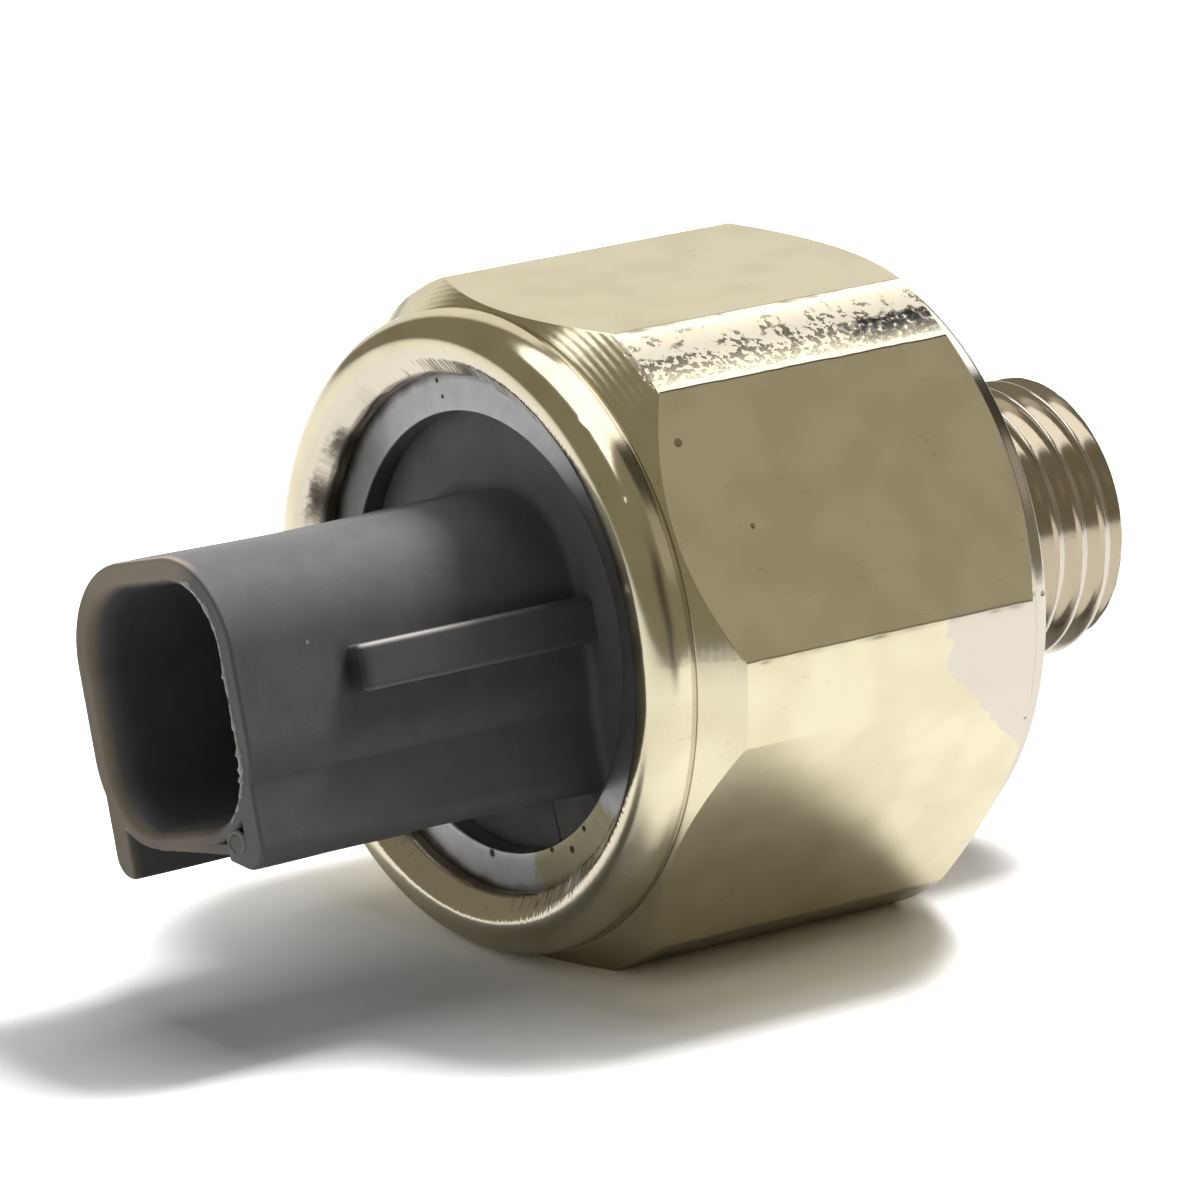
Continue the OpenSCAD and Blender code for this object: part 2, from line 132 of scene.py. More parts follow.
def surface(grid, ring=False):
    # Quads between the grid's neighbours; a ring's rows close too, and otherwise a fan shuts each end
    rows, columns = grid.shape[:2]
    index = np.arange(rows * columns).reshape(rows, columns)
    here = index if ring else index[:-1]
    there = np.roll(index, -1, 0) if ring else index[1:]
    quads = np.stack([here, np.roll(here, -1, 1), np.roll(there, -1, 1), there], -1).reshape(-1, 4)
    points = grid.reshape(-1, 3)
    fans = np.zeros((0, 3), int)
    if not ring:
        points = np.concatenate([points, grid[0].mean(0)[None], grid[-1].mean(0)[None]])
        first = np.stack([np.full(columns, rows * columns), np.roll(index[0], -1), index[0]], -1)
        last = np.stack([np.full(columns, rows * columns + 1), index[-1], np.roll(index[-1], -1)], -1)
        fans = np.concatenate([first, last])
    halves = np.concatenate([quads[:, :3], quads[:, [0, 2, 3]], fans])
    a, b, c = (points[halves[:, k]] for k in range(3))
    if (a * np.cross(b, c)).sum() < 0:  # the signed volume says which way the faces look
        quads, fans = quads[:, ::-1], fans[:, ::-1]
    return points, quads, fans


def makePiece(name, surfaces, material, nodes=()):
    points, faces, start = [], [], 0
    for pts, quads, fans in surfaces:
        points.append(pts)
        faces += (quads + start).tolist() + (fans + start).tolist()
        start += len(pts)
    mesh = bpy.data.meshes.new(name)
    mesh.from_pydata((np.concatenate(points) / perMetre).tolist(), [], faces)
    mesh.polygons.foreach_set("use_smooth", np.ones(len(mesh.polygons), bool))
    mesh.materials.append(material)
    mesh.update()
    mesh.set_sharp_from_angle(angle=math.radians(38))
    piece = bpy.data.objects.new(name, mesh)
    bpy.context.scene.collection.objects.link(piece)
    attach(piece, "root")
    if nodes:
        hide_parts(*nodes)
    print(f"stage: {name}, {2 * len(faces)} triangles")


def waves(seed, *axes):
    # Sum of sines of random direction and phase over the given coordinates: smooth, seeded unevenness
    rng = np.random.default_rng(seed)
    total = 0
    for _ in range(14):
        turn = sum(axis * rng.normal() for axis in axes)
        total = total + np.sin(turn + rng.uniform(0, 2 * np.pi))
    return total / np.sqrt(7.0)


# Materials. A Wire is one output; Python's operators on it add Math nodes.

class Wire:
    def __init__(self, graph, socket):
        self.graph = graph
        self.socket = socket

    def math(self, operation, other=None, flipped=False):
        pair = (other, self) if flipped else (self, other)
        values = {i: v for i, v in enumerate(pair) if v is not None}
        return self.graph.add("ShaderNodeMath", {"operation": operation}, values)

    def __add__(self, other):
        return self.math("ADD", other)

    def __sub__(self, other):
        return self.math("SUBTRACT", other)

    def __rsub__(self, other):
        return self.math("SUBTRACT", other, True)

    def __mul__(self, other):
        return self.math("MULTIPLY", other)

    def __truediv__(self, other):
        return self.math("DIVIDE", other)

    __radd__ = __add__
    __rmul__ = __mul__

    def least(self, other):
        return self.math("MINIMUM", other)

    def most(self, other):
        return self.math("MAXIMUM", other)

    def between(self, low, high):
        # 0 below low, 1 above high, and smooth between them
        settings = {"interpolation_type": "SMOOTHSTEP"}
        return self.graph.add("ShaderNodeMapRange", settings, {0: self, 1: low, 2: high, 3: 0.0, 4: 1.0})

    def near(self, centre, width):
        # 1 at centre, falling to 0 at width from it
        return 1 - (self - centre).math("ABSOLUTE").between(0.0, width)


class Graph:
    def __init__(self, tree):
        self.tree = tree
        self.tree.nodes.clear()

    def add(self, kind, settings=None, values=None, output=0):
        node = self.tree.nodes.new(kind)
        for key, value in (settings or {}).items():
            setattr(node, key, value)
        for key, value in (values or {}).items():
            if isinstance(value, Wire):
                self.tree.links.new(value.socket, node.inputs[key])
            else:
                node.inputs[key].default_value = value
        return Wire(self, node.outputs[output])

    def mix(self, factor, first, second, kind="MIX"):
        settings = {"data_type": "RGBA", "blend_type": kind}
        return self.add("ShaderNodeMix", settings, {0: factor, 6: first, 7: second}, 2)

    def noise(self, place, scale, detail=3.0, roughness=0.55):
        return self.add("ShaderNodeTexNoise", None,
                        {"Vector": place, "Scale": scale, "Detail": detail, "Roughness": roughness})

    def vector(self, x, y, z):
        return self.add("ShaderNodeCombineXYZ", None, {0: x, 1: y, 2: z})

    def parts(self, vector):
        split = self.add("ShaderNodeSeparateXYZ", None, {0: vector})
        return [Wire(self, socket) for socket in split.socket.node.outputs]

    def close(self, kind, shader):
        out = self.tree.nodes.new(kind)
        self.tree.links.new(shader.socket, out.inputs[0])


class Finish(Graph):
    # A material on Object coordinates, in millimetres: place, x, y and z,
    # with the radius r and the turn round the sensor's axis
    def __init__(self, name):
        self.material = bpy.data.materials.new(name)
        self.material.use_nodes = True
        super().__init__(self.material.node_tree)
        whole = self.add("ShaderNodeTexCoord", output="Object")
        self.place = self.add("ShaderNodeVectorMath", {"operation": "SCALE"}, {0: whole, "Scale": perMetre})
        self.x, self.y, self.z = self.parts(self.place)
        self.r = (self.y * self.y + self.z * self.z).math("SQRT")
        self.turn = (0 - self.y).math("ARCTAN2", self.z)

    def around(self, stretch):
        # The axis unrolled: along, round at a fixed radius, and outward, each times its stretch
        return self.vector(self.x * stretch[0], self.turn * stretch[1], self.r * stretch[2])

    def dots(self, place, scale, share, size, ragged=0.08):
        # Specks: only a share of the Voronoi cells hold one, and its size is random too
        cell = self.add("ShaderNodeTexVoronoi", None, {"Vector": place, "Scale": scale})
        chance = self.parts(Wire(self, cell.socket.node.outputs["Color"]))[0]
        reach = (chance - (1 - share)) * (size / share)
        uneven = (self.noise(place, scale * 5, 2.0) - 0.5) * ragged
        return (reach - cell + uneven).between(0.0, 0.025) * chance.between(1 - share, 1.001 - share)

    def mark(self, point, size, soft):
        # 1 near a point, and 0 farther from it than size
        away = self.add("ShaderNodeVectorMath", {"operation": "DISTANCE"}, {0: self.place, 1: point}, "Value")
        return 1 - away.between(size * (1 - soft), size)

    def marks(self, points, soft=0.5):
        # The strongest of several marks: each is a point and its size
        total = 0.0 * self.x
        for *point, size in points:
            total = total.most(self.mark(point, size, soft))
        return total

    def band(self, low, high, soft=1.5):
        # 1 where the turn lies between two angles, in degrees
        angle = self.turn * (180 / math.pi)
        return angle.between(low - soft, low + soft) * (1 - angle.between(high - soft, high + soft))

    def relief(self, height):
        # The surface raised by a height in millimetres
        return self.add("ShaderNodeBump", None, {"Height": height, "Distance": 1 / perMetre, "Strength": 1.0})

    def shade(self, values):
        self.close("ShaderNodeOutputMaterial", self.add("ShaderNodeBsdfPrincipled", None, values))
        return self.material


def tone(red, green, blue):
    # An sRGB colour out of 255 as the linear values that sockets take
    share = [c / 255 for c in (red, green, blue)]
    return tuple(c / 12.92 if c <= 0.04045 else ((c + 0.055) / 1.055) ** 2.4 for c in share) + (1.0,)


# The plated housing: hexagon, collar and cavity are one turned surface, cut by six flats

housing = {
    "flatRadius": 13.5,
    "cornerRadius": 14.67,
    "frontX": -18.35,
    "rearX": -0.65,
    "frontSlope": 39.2,
    "rearSlope": 46.5,
    "rearRadius": 13.09,
    "seatRadius": 12.9,
    "collarRadius": 13.4,
    "rimX": -20.45,
    "rimReach": 1.3,
    "ringX": -19.05,
    "lipRadius": 10.8,
    "lipWall": 0.55,
    "bevelRadius": 11.75,
    "grooveLength": 0.35,
    "grooveDepth": 0.1,
    "boreRadius": 12.1,
    "shoulderX": -13.05,
    "innerRadius": 10.05,
    "ledgeX": -5.85,
    "ledgeRadius": 8.2,
    "floorX": -5.05,
    "edge": 0.06,
    "cornerBlend": 0.009,
    "nick": 0.006,
    "nickReach": 0.8,
}


# Half the angle that a flat spans, in degrees
hexEdge = math.degrees(math.acos(housing["flatRadius"] / housing["cornerRadius"]))


def sectorAngles():
    # One sixth of the way round, flat in the middle, with close steps where the flat meets the corner
    flat = np.linspace(0, hexEdge - 0.6, 8)
    close = np.linspace(hexEdge - 0.6, hexEdge + 0.9, 16)[1:]
    corner = np.linspace(hexEdge + 0.9, 30, 5)[1:]
    half = np.concatenate([flat, close, corner])
    return np.radians(np.concatenate([-half[:0:-1], half[:-1]]))


def housingGrid(h):
    sector = sectorAngles()
    turn = (sector + np.radians(60) * np.arange(6)[:, None]).ravel()
    offset = np.tile(sector, 6)
    flat = h["flatRadius"] / np.cos(offset)
    # Smooth minimum of flat and corner: least - k log(1 + exp(-|difference| / k))
    k = h["cornerBlend"]

    def hexagon(corner):
        return np.minimum(flat, corner) - k * np.log1p(np.exp(-np.abs(flat - corner) / k))

    reach = hexagon(h["cornerRadius"])
    full = np.ones_like(turn)
    frontRun = (reach - h["collarRadius"]) / math.tan(math.radians(h["frontSlope"]))
    footX = h["frontX"] - (h["flatRadius"] - h["collarRadius"]) / math.tan(math.radians(h["frontSlope"]))
    rearRun = (reach - h["rearRadius"]) / math.tan(math.radians(h["rearSlope"]))
    groove = h["collarRadius"] - h["grooveDepth"]
    grooveX = h["frontX"] - h["grooveLength"]
    e = h["edge"]
    # x, radius, rounding, steps in it, straight rows after it
    profile = [
        (h["floorX"], 0.5, 0, 1, 1), (h["floorX"], h["ledgeRadius"], e, 2, 1),
        (h["ledgeX"], h["ledgeRadius"], e, 2, 1), (h["ledgeX"], h["innerRadius"], e, 2, 1),
        (h["shoulderX"], h["innerRadius"], e, 2, 1), (h["shoulderX"], h["boreRadius"], e, 2, 1),
        (h["ringX"], h["boreRadius"], e, 2, 1), (h["ringX"], h["lipRadius"], e, 2, 1),
        (h["ringX"] - h["lipWall"], h["lipRadius"], 0.1, 4, 6),
        (h["rimX"] + 0.06, h["bevelRadius"], 0.35, 8, 2),
        (h["rimX"], h["collarRadius"], h["rimReach"], 22, 2),
        (grooveX, h["collarRadius"], 0.06, 4, 1), (grooveX, groove, 0.08, 4, 1),
        (footX, groove, 0.1, 4, 1), (footX, h["collarRadius"], 0.05, 4, 14),
        (footX + frontRun, reach, e, 4, 140), (h["rearX"] - rearRun, reach, e, 5, 10),
        (h["rearX"], h["rearRadius"], e, 3, 1), (h["rearX"], h["seatRadius"], e, 3, 2),
        (0.0, h["seatRadius"], 0.1, 4, 4), (0.0, 0.5, 0, 1, 1),
    ]
    corners = np.array([[x * full, r * full] for x, r, *_ in profile]).transpose(0, 2, 1)
    rows = softened(corners, [p[2] for p in profile], [p[3] for p in profile], [p[4] for p in profile])
    x, r = rows[..., 0], rows[..., 1]
    onHex = (x > footX + 0.05) & (r > h["collarRadius"] + 0.02)
    # The corner's edges are ragged: near them the turned corner stands a little lower or higher
    onHex = onHex & (x > footX + frontRun - 0.02) & (x < h["rearX"] - rearRun + 0.02)
    uneven = waves(5, x * 1.9, turn * 5.0) * 0.5 + waves(6, x * 5.0, turn * 9.0) * 0.35
    uneven = uneven + waves(7, x * 9.0, turn * 16.0) * 0.2
    close = np.exp(-((np.abs(np.degrees(offset)) - hexEdge) / h["nickReach"]) ** 2)
    r = np.where(onHex, hexagon(h["cornerRadius"] + h["nick"] * (uneven - 1.0) * close), r)
    # The crimp's inner edge is slightly ragged
    onLip = (r < h["bevelRadius"]) & (x < h["ringX"] - 0.2)
    ragged = 0.05 * waves(8, turn * 26.0) * np.clip((h["bevelRadius"] - r) / 0.9, 0, 1)
    r = np.where(onLip, r + ragged, r)
    return spun(x, r, turn)


# The stud, with its M12 fine thread

stud = {
    "radius": 5.95,
    "pitch": 1.25,
    "depth": 0.74,
    "length": 10.65,
    "chamfer": 0.8,
    "root": 0.12,
    "crest": 0.05,
    "runOut": 0.9,
    "runOutFrom": 0.25,
    "start": -1.0,
    "chamferSlope": 1.15,
    "endRound": 0.06,
}


def studGrid(s):
    # Right-handed: the profile's phase is x / pitch less the turn; its tooth is |2 phase - 1|,
    # cut off at the root and at the crest
    turn = np.linspace(0, 2 * np.pi, 168, endpoint=False)
    x = np.concatenate([np.linspace(s["start"], s["length"] - 0.02, 440), [s["length"]]])[:, None]
    phase = (x / s["pitch"] - turn / (2 * np.pi)) % 1.0
    tooth = np.abs(2 * phase - 1)
    rise = np.clip((tooth - s["root"]) / (1 - s["root"] - s["crest"]), 0, 1)
    # The straight flank t and the wave (1 - cos(pi t)) / 2, half and half
    rise = 0.5 * rise + 0.25 * (1 - np.cos(np.pi * rise))
    fade = np.clip((x - s["runOutFrom"]) / s["runOut"], 0, 1)
    r = s["radius"] - s["depth"] * (1 - rise) * fade
    toEnd = s["length"] - x
    cut = s["radius"] - s["chamferSlope"] * np.clip(s["chamfer"] - toEnd, 0, s["chamfer"])
    soft = np.clip(s["endRound"] - toEnd, 0, s["endRound"])
    r = np.minimum(r, cut - soft)
    return spun(x, r, turn)


# The steel ring under the crimp

ring = {"frontX": -19.05, "backX": -18.05, "inner": 9.15, "outer": 12.0, "edge": 0.12, "hiddenEdge": 0.05}


def ringGrid(g):
    turn = np.linspace(0, 2 * np.pi, 240, endpoint=False)
    front, back, inner, outer = (g[key] for key in ("frontX", "backX", "inner", "outer"))
    corners = [(front, inner), (front, outer), (back, outer), (back, inner)]
    reach = [g["edge"]] + [g["hiddenEdge"]] * 3
    profile = softened(np.array(corners), reach, [6, 3, 3, 3], [4, 2, 4, 4], True)
    return spun(profile[:, :1], profile[:, 1:], turn)


# The moulded connector, drawn level and then rolled round the axis

shroud = {
    "roll": -17.0,
    "halfWidth": 5.5,
    "top": 5.76,
    "bottom": 5.95,
    "topRadius": 4.05,
    "bottomRadius": 3.9,
    "wall": 1.2,
    "bottomWall": 0.8,
    "mouthX": -35.15,
    "flangeX": -18.05,
    "socketX": -21.15,
    "footOut": 5.2,
    "footThick": 1.17,
    "footBottom": 7.05,
    "footRadius": 1.0,
    "footInner": 0.12,
    "outerEdge": 0.14,
    "leadWidth": 0.45,
    "leadDepth": 1.3,
    "leadFar": 0.35,
    "waist": 0.1,
    "flare": 0.3,
    "flareX": -27.0,
    "baseFillet": 0.45,
}


def rolled(points):
    # Turns (x, across, up) by the connector's roll about the axis
    a = math.radians(shroud["roll"])
    x, y, z = points[..., 0], points[..., 1], points[..., 2]
    return np.stack([x, y * math.cos(a) - z * math.sin(a), y * math.sin(a) + z * math.cos(a)], -1)


def straight(start, end, count):
    t = eased(count + 1)[:-1, None]
    return np.array(start) + (np.array(end) - np.array(start)) * t


def arc(centre, radius, start, end, count):
    # centre + radius (cos a, sin a), with a from start to end in degrees, without its last point
    a = np.radians(np.linspace(start, end, count, endpoint=False))[:, None]
    return np.array(centre) + radius * np.concatenate([np.cos(a), np.sin(a)], 1)


def footAngles(out, thick, centre, radius):
    # Where the oval's lower corner meets the foot's outer face and its inner face
    return [-math.degrees(math.acos((edge - centre) / radius)) for edge in (out, out - thick)]


def halfLoop(s, inset, feet):
    # The right half of an outline, from the top's middle to the bottom's middle
    w, rt, rb = s["halfWidth"] - inset, s["topRadius"] - inset, s["bottomRadius"] - inset
    top, low = s["top"] - inset, s["bottom"] - inset
    centreTop, centreLow = (w - rt, top - rt), (w - rb, rb - low)
    out = s["footOut"] - inset
    thick = s["footThick"] - 2 * inset
    ri = max(s["footInner"] - inset, 0.02)
    fr = min(s["footRadius"] - inset, thick - ri - 0.02)  # so that the foot's two roundings fit side by side
    bottom = s["footBottom"] - inset
    first, second = footAngles(out, thick, centreLow[0], rb)
    pieces = [
        straight((0, top), (centreTop[0], top), 8),
        arc(centreTop, rt, 90, 0, 26),
        straight((w, centreTop[1]), (w, centreLow[1]), 14),
        arc(centreLow, rb, 0, first, 10),
    ]
    if feet:
        inner = out - thick
        join = [centreLow[1] + rb * math.sin(math.radians(a)) for a in (first, second)]
        pieces += [
            straight((out, join[0]), (out, fr - bottom), 10),
            arc((out - fr, fr - bottom), fr, 0, -90, 12),
            straight((out - fr, -bottom), (inner + ri, -bottom), 2),
            arc((inner + ri, ri - bottom), ri, -90, -180, 6),
            straight((inner, ri - bottom), (inner, join[1]), 10),
        ]
    else:
        pieces.append(arc(centreLow, rb, first, second, 40))
    pieces += [arc(centreLow, rb, second, -90, 16), straight((centreLow[0], -low), (0, -low), 8), [(0, -low)]]
    return np.concatenate(pieces)


def wholeLoop(half):
    # Mirrors a half outline and closes it
    mirrored = half[::-1] * np.array([-1, 1])
    return np.concatenate([half[:-1], mirrored[:-1]])


def socketLoop(s, grow):
    # The socket's outline has the shroud's form, drawn in by its walls
    drawn, low = s["wall"] - grow, s["bottomWall"] - grow
    inner = dict(s, halfWidth=s["halfWidth"] - drawn, top=s["top"] - drawn, bottom=s["bottom"] - low,
                 topRadius=s["topRadius"] - drawn, bottomRadius=s["bottomRadius"] - drawn,
                 footOut=s["footOut"] - drawn, footThick=s["footThick"] * 0.8)
    return wholeLoop(halfLoop(inner, 0.0, False))


def outerLoop(s, x, inset, feet=True):
    # The outline at x: near the mouth its far side flares out by flare clip(y / 3, 0, 1)
    loop = wholeLoop(halfLoop(s, inset, feet))
    share = min(max((s["flareX"] - x) / (s["flareX"] - s["mouthX"]), 0.0), 1.0)
    loop[:, 0] += s["flare"] * share * np.clip(loop[:, 0] / 3, 0, 1)
    return loop


def leadLoop(s, share):
    # The lead-in at a share of its width, wider on the far side: (y, z) + share far clip(y / 3, 0, 1) (1, 0)
    loop = socketLoop(s, s["leadWidth"] * share)
    loop[:, 0] += s["leadFar"] * share * np.clip(loop[:, 0] / 3, 0, 1)
    return loop


def layer(x, loop):
    # An outline of (across, up) at a station x
    return np.concatenate([np.full((len(loop), 1), x), loop], 1)


def shroudGrid(s):
    q = np.linspace(0, np.pi / 2, 7)
    rows = [layer(s["flangeX"] + 0.6, outerLoop(s, s["flangeX"], -s["baseFillet"]))]
    for t in q:  # concave fillet at the base
        x = s["flangeX"] - s["baseFillet"] * (1 - math.cos(t))
        rows.append(layer(x, outerLoop(s, x, -s["baseFillet"] * (1 - math.sin(t)))))
    wallEnd, wallStart = s["mouthX"] + s["outerEdge"], s["flangeX"] - s["baseFillet"]
    for t in eased(24)[1:-1]:  # the wall, a little drawn in at its waist
        x = wallStart + (wallEnd - wallStart) * t
        rows.append(layer(x, outerLoop(s, x, s["waist"] * math.sin(math.pi * t) ** 2)))
    for t in q:  # the mouth's outer edge
        x = s["mouthX"] + s["outerEdge"] * (1 - math.sin(t))
        rows.append(layer(x, outerLoop(s, x, s["outerEdge"] * (1 - math.cos(t)))))
    # The front face: the feet's fronts first, in to the oval, and from there to the socket's lip
    oval, lip = outerLoop(s, s["mouthX"], s["outerEdge"], False), leadLoop(s, 1.0)
    rows += [layer(s["mouthX"], rows[-1][:, 1:] * 0.98 + oval * 0.02), layer(s["mouthX"], oval)]
    rows += [layer(s["mouthX"], oval + (lip - oval) * t) for t in (0.1, 0.5, 0.9)]
    for t in np.linspace(0, np.pi / 2, 11):  # the lead-in
        rows.append(layer(s["mouthX"] + s["leadDepth"] * (1 - math.cos(t)), leadLoop(s, 1 - math.sin(t))))
    inner = socketLoop(s, 0.0)
    start = s["mouthX"] + s["leadDepth"]
    rows += [layer(start + (s["socketX"] - 0.2 - start) * t, inner) for t in eased(8)[1:]]
    rows += [layer(s["socketX"] - 0.05, inner * 0.985), layer(s["socketX"], inner * 0.95)]
    return rolled(np.array(rows))


def barGrid(outline, low, high, edge, order=(0, 1, 2)):
    # An outline carried from low to high, drawn towards its middle over a short rounding at both ends
    middle = (outline.max(0) + outline.min(0)) / 2
    half = (outline.max(0) - outline.min(0)) / 2
    t = np.linspace(0, np.pi / 2, 5)
    stations = np.concatenate([low + edge * (1 - np.sin(t[::-1])), high - edge * (1 - np.sin(t))])
    draw = np.concatenate([edge * (1 - np.cos(t[::-1])), edge * (1 - np.cos(t))])
    scale = 1 - draw[:, None] / np.maximum(half, edge)
    loops = middle + (outline - middle)[None] * scale[:, None]
    grid = np.concatenate([np.broadcast_to(stations[:, None, None], loops.shape[:2] + (1,)), loops], -1)
    return rolled(grid[..., list(order)])


def softLoop(corners, reach):
    count = len(corners)
    return softened(np.array(corners, float), [reach] * count, [5] * count, [6] * count, True)


def tubeGrid(path, radius, flatten=1.0):
    # path + radius (cos b) side + radius (sin b) up, round a path in the plane of the mouth
    along = np.gradient(path, axis=0)
    along /= np.linalg.norm(along, axis=1, keepdims=True)
    axis = np.array([1.0, 0, 0])
    side = np.cross(along, axis)
    b = np.linspace(0, 2 * np.pi, 10, endpoint=False)[None, :, None]
    return path[:, None] + radius[:, None, None] * (flatten * np.cos(b) * side[:, None] + np.sin(b) * axis)


extras = {
    "ribHeight": 1.9,
    "ribOut": 0.8,
    "ribLength": 11.6,
    "ribRound": 0.22,
    "webThick": 0.5,
    "webEnd": 1.7,
    "webPast": 0.6,
    "webDrop": 0.1,
    "webBack": 0.02,
    "webRound": 0.12,
    "webCorner": 0.1,
    "rootEnd": -2.7,
    "rootRise": 0.45,
    "rootBack": 0.015,
    "webLength": 8.0,
    "latchHeight": 0.5,
    "latchWidth": 3.0,
    "latchRound": 0.08,
    "sunk": 0.4,
    "flangeRadius": 12.0,
    "flangeThick": 3.2,
    "spigotRadius": 9.95,
    "spigotX": -12.55,
    "recessX": -13.85,
    "recessRadius": 8.75,
    "bossX": -13.25,
    "bossRadius": 3.4,
    "bossHole": 2.4,
    "bossHoleDepth": 0.8,
    "core": 0.3,
}


def ribGrid(s, e, side):
    root, reach = s["halfWidth"] - s["wall"] / 2, s["halfWidth"] + e["ribOut"]
    h = e["ribHeight"] / 2
    loop = softLoop([(root, -h), (reach, -h), (reach, h), (root, h)], e["ribRound"])
    start, end = s["flangeX"] - e["ribLength"], s["flangeX"] + e["sunk"]
    return barGrid(loop * np.array([side, 1]), start, end, e["ribRound"])


def webGrid(s, e):
    # The web: a slanted strip from the near foot's middle to past the oval's lowest point
    reach = s["footThick"] / 2 - s["footOut"]
    low = s["bottom"] + e["webDrop"]
    tip = e["webEnd"] + e["webPast"]
    corners = [(reach, -low - e["webThick"]), (tip, 0.13 - low), (tip, e["webThick"] - low), (reach, -low)]
    start, end = s["mouthX"] + e["webBack"], s["mouthX"] + e["webLength"]
    return barGrid(softLoop(corners, e["webCorner"]), start, end, e["webRound"])


def rootGrid(s, e):
    # The web's thick root in the corner beside the near foot, just behind the foot's front
    inner, low = s["footThick"] - s["footOut"], s["bottom"] + e["webDrop"]
    reach = inner - s["footThick"] / 2
    corners = [(reach, -low - e["webThick"]), (inner, -s["footBottom"]),
               (e["rootEnd"], e["rootRise"] - s["footBottom"]),
               (e["rootEnd"], e["webThick"] - low), (reach, e["webThick"] - low)]
    start, end = s["mouthX"] + e["rootBack"], s["mouthX"] + e["webLength"]
    return barGrid(softLoop(corners, e["webCorner"]), start, end, e["webRound"])


def latchGrid(s, e):
    # The latch's ramp under the web: it rises over one run and stays level for a fifth of it
    run = e["webLength"] / 3
    start, floor = s["mouthX"] + run / 2, -s["bottom"] - e["webThick"] / 2
    corners = [(start, floor + 0.25), (start, floor), (start + run, floor - e["latchHeight"]),
               (start + 1.2 * run, floor - e["latchHeight"]), (start + 1.2 * run, floor + 0.25)]
    half = e["latchWidth"] / 2
    return barGrid(softLoop(corners, e["latchRound"]), -half, half, e["latchRound"], (1, 0, 2))


def flangeGrid(s, e):
    turn = np.linspace(0, 2 * np.pi, 160, endpoint=False)
    back = s["flangeX"] + e["flangeThick"]
    deep = e["bossX"] - e["bossHoleDepth"]
    corners = [(s["flangeX"], e["core"]), (s["flangeX"], e["flangeRadius"]), (back, e["flangeRadius"]),
               (back, e["spigotRadius"]), (e["spigotX"], e["spigotRadius"]),
               (e["spigotX"], e["recessRadius"]), (e["recessX"], e["recessRadius"]),
               (e["recessX"], e["bossRadius"]), (e["bossX"], e["bossRadius"]),
               (e["bossX"], e["bossHole"]), (deep, e["bossHole"]), (deep, e["core"])]
    count = len(corners)
    profile = softened(np.array(corners), [0.08] * count, [3] * count, [3] * count)
    return spun(profile[:, :1], profile[:, 1:], turn)


# Mould flash: the thin ragged fin that a worn mould leaves along the mouth's inner edge

flash = {
    "thick": 0.12,
    "ragged": 0.04,
    "lumps": 4,
    "lumpSize": 0.08,
    "lumpLength": 0.13,
    "seed": 21,
    "low": -2.9,
    "gateY": -3.45,
    "gateZ": -5.9,
    "gateWide": 0.56,
    "gateHigh": 0.42,
    "gateThick": 0.1,
    "ridge": 0.055,
}


def atMouth(path, depth):
    # A path of (across, up) as points in the plane of the mouth, depth behind its front
    return np.concatenate([np.full((len(path), 1), shroud["mouthX"] + depth), path], 1)


def walk(path, count):
    # The path at even steps of its length, and the length walked to each
    walked = np.concatenate([[0], np.cumsum(np.linalg.norm(np.diff(path, axis=0), axis=1))])
    even = np.linspace(0, walked[-1], count)
    return np.stack([np.interp(even, walked, path[:, k]) for k in (0, 1)], 1), even


def flashGrids(s, f):
    rng = np.random.default_rng(f["seed"])
    lip = leadLoop(s, 1.03)
    count = len(lip)
    # The near side, from the upper near corner down and round to the near foot
    half = lip[count // 2:]
    near = half[(half[:, 1] > 0) | (half[:, 0] < f["low"])]
    near = near[near[:, 0] < -1.9][::-1]
    path, even = walk(near, 420)
    wobble = waves(f["seed"], even * 5.0) * 0.7 + waves(f["seed"] + 1, even * 16.0) * 0.3
    centres = rng.uniform(5, even[-1] * 0.9, f["lumps"])
    lumps = sum(np.exp(-((even - c) / f["lumpLength"]) ** 2) for c in centres)
    taper = np.clip(even / 1.0, 0.15, 1) * np.clip((even[-1] - even) / 0.6, 0.15, 1)
    radius = np.clip(f["thick"] + f["ragged"] * wobble + f["lumpSize"] * lumps, 0.03, 0.3) * taper
    across = path / np.linalg.norm(path, axis=1, keepdims=True)
    path = path + across * (0.03 * wobble)[:, None]
    main = tubeGrid(atMouth(path, 0.07), radius, 0.8)
    # The root's front carries the open ring of a moulding gate
    a = np.radians(np.linspace(-60, 250, 60))[:, None]
    bent = np.concatenate([f["gateWide"] * np.cos(a), f["gateHigh"] * np.sin(a)], 1)
    gate = np.array([[f["gateY"], f["gateZ"]]]) + bent
    curl = tubeGrid(atMouth(gate, 0.05), np.full(len(gate), f["gateThick"]))
    # A fine ridge follows the oval's lower edge, from the far side to the web
    oval = outerLoop(s, s["mouthX"], s["outerEdge"] / 2, False)
    oval = oval[:len(oval) // 2]
    low, even = walk(oval[oval[:, 1] < -4.4], 120)
    fade = np.clip(even / 0.8, 0.2, 1) * np.clip((even[-1] - even) / 1.5, 0.2, 1)
    ridge = tubeGrid(atMouth(low, 0.05), f["ridge"] * fade)
    return rolled(main), rolled(curl), rolled(ridge)


# Finishes

plating = {
    "cream": tone(238, 229, 197),
    "band": tone(202, 194, 172),
    "bare": tone(222, 213, 197),
    "stud": tone(221, 213, 198),
    "edge": tone(252, 250, 244),
    "pit": tone(98, 92, 74),
    "scar": tone(48, 52, 62),
    "residue": tone(78, 64, 46),
    "tarnish": tone(176, 160, 118),
    "shadeBelowTone": tone(150, 134, 92),
    "wall": tone(132, 124, 110),
    "roughness": 0.13,
    "markPitch": 0.21,
}

